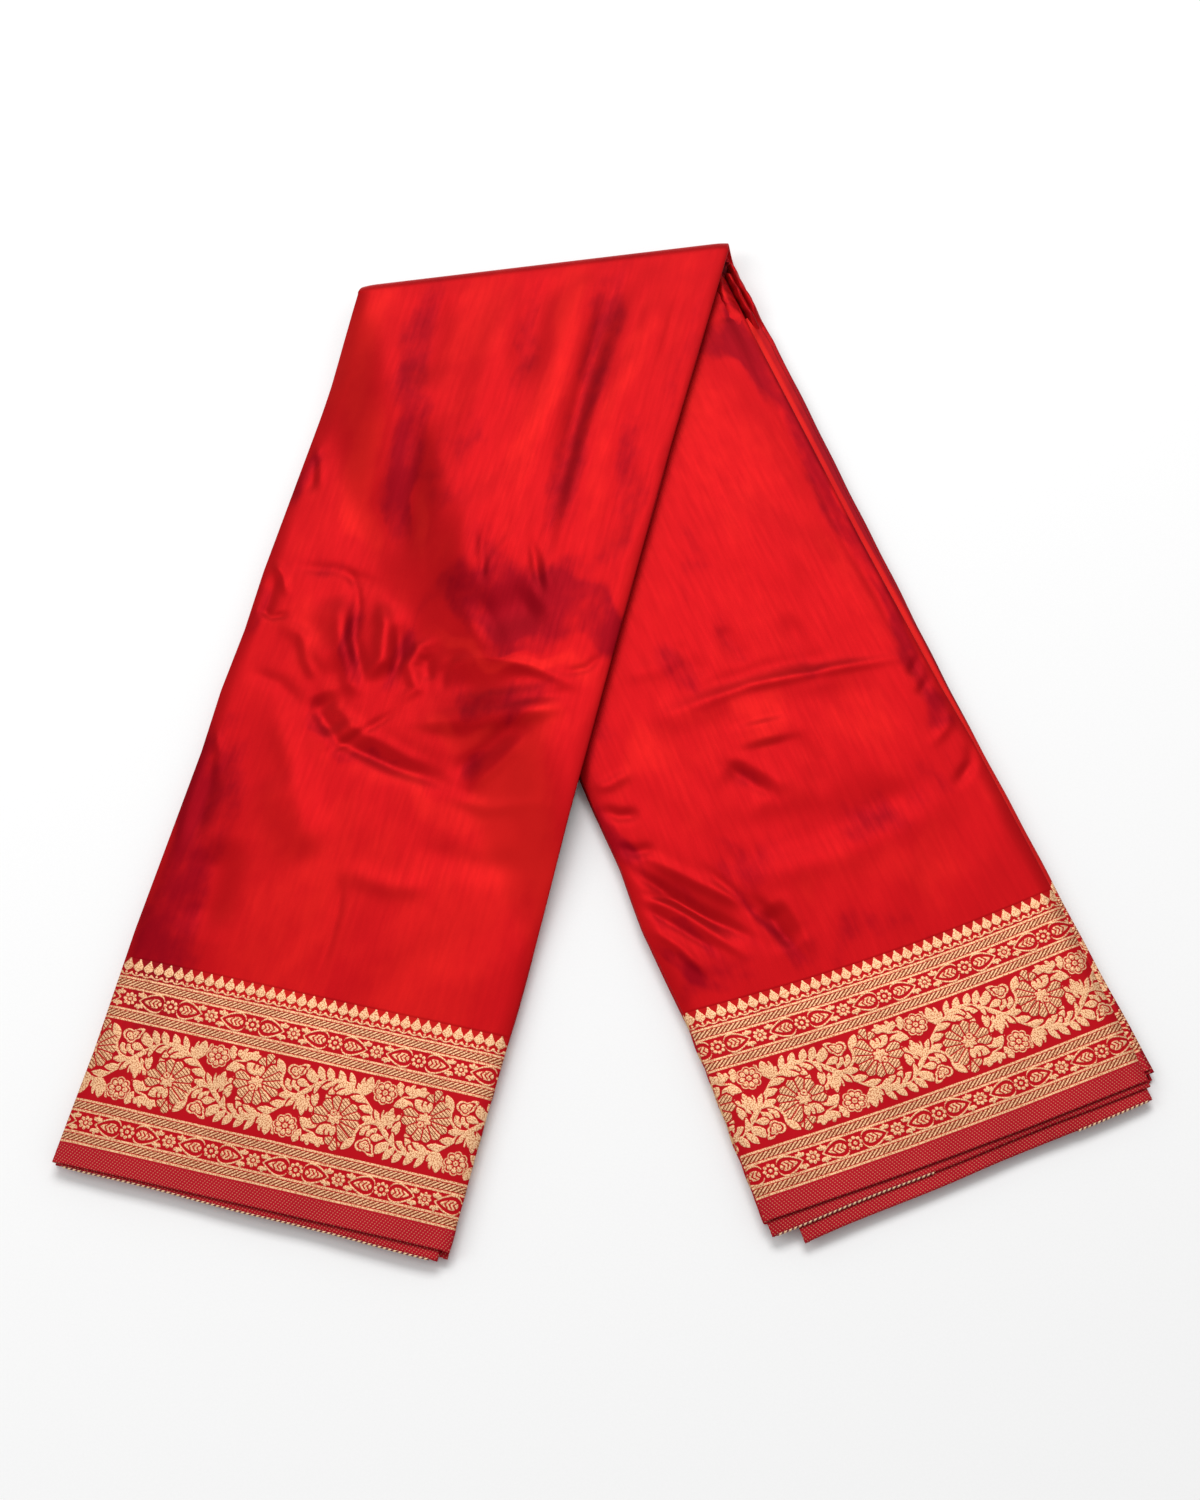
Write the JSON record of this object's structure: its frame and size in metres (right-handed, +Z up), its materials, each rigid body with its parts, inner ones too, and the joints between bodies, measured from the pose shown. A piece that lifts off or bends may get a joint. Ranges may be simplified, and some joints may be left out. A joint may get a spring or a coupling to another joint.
{
  "type": "folded saree",
  "caption": "Red silk saree with gold zari borders, pleated into a narrow stack, folded over in the middle and laid flat as an upturned V.",
  "frame": {"origin": "middle of the footprint, on the surface that the cloth lies on", "axes": "+Z up from the surface, +Y from the hems towards the fold, +X to the right leg's side"},
  "size_m": [0.5254, 0.585, 0.0196],
  "materials": {
    "silk": "red silk satin, soft sheen",
    "silk_layers": "the same silk in shade between its layers",
    "zari_border": "woven gold zari on crimson silk"
  },
  "bodies": {
    "root": {"left_face_field": "silk", "left_face_border": "zari_border", "left_inner_layers": "silk_layers", "left_hem_layer_2": "zari_border", "left_hem_layer_3": "silk_layers", "right_face_field": "silk", "right_face_border": "zari_border", "right_inner_layers": "silk_layers", "right_hem_layer_2": "zari_border", "right_hem_layer_3": "silk_layers", "right_side_fold_1": "silk", "right_side_fold_2": "silk", "fold_gather_1": "silk", "fold_gather_2": "silk", "fold_gather_3": "silk"}
  },
  "joints": []
}
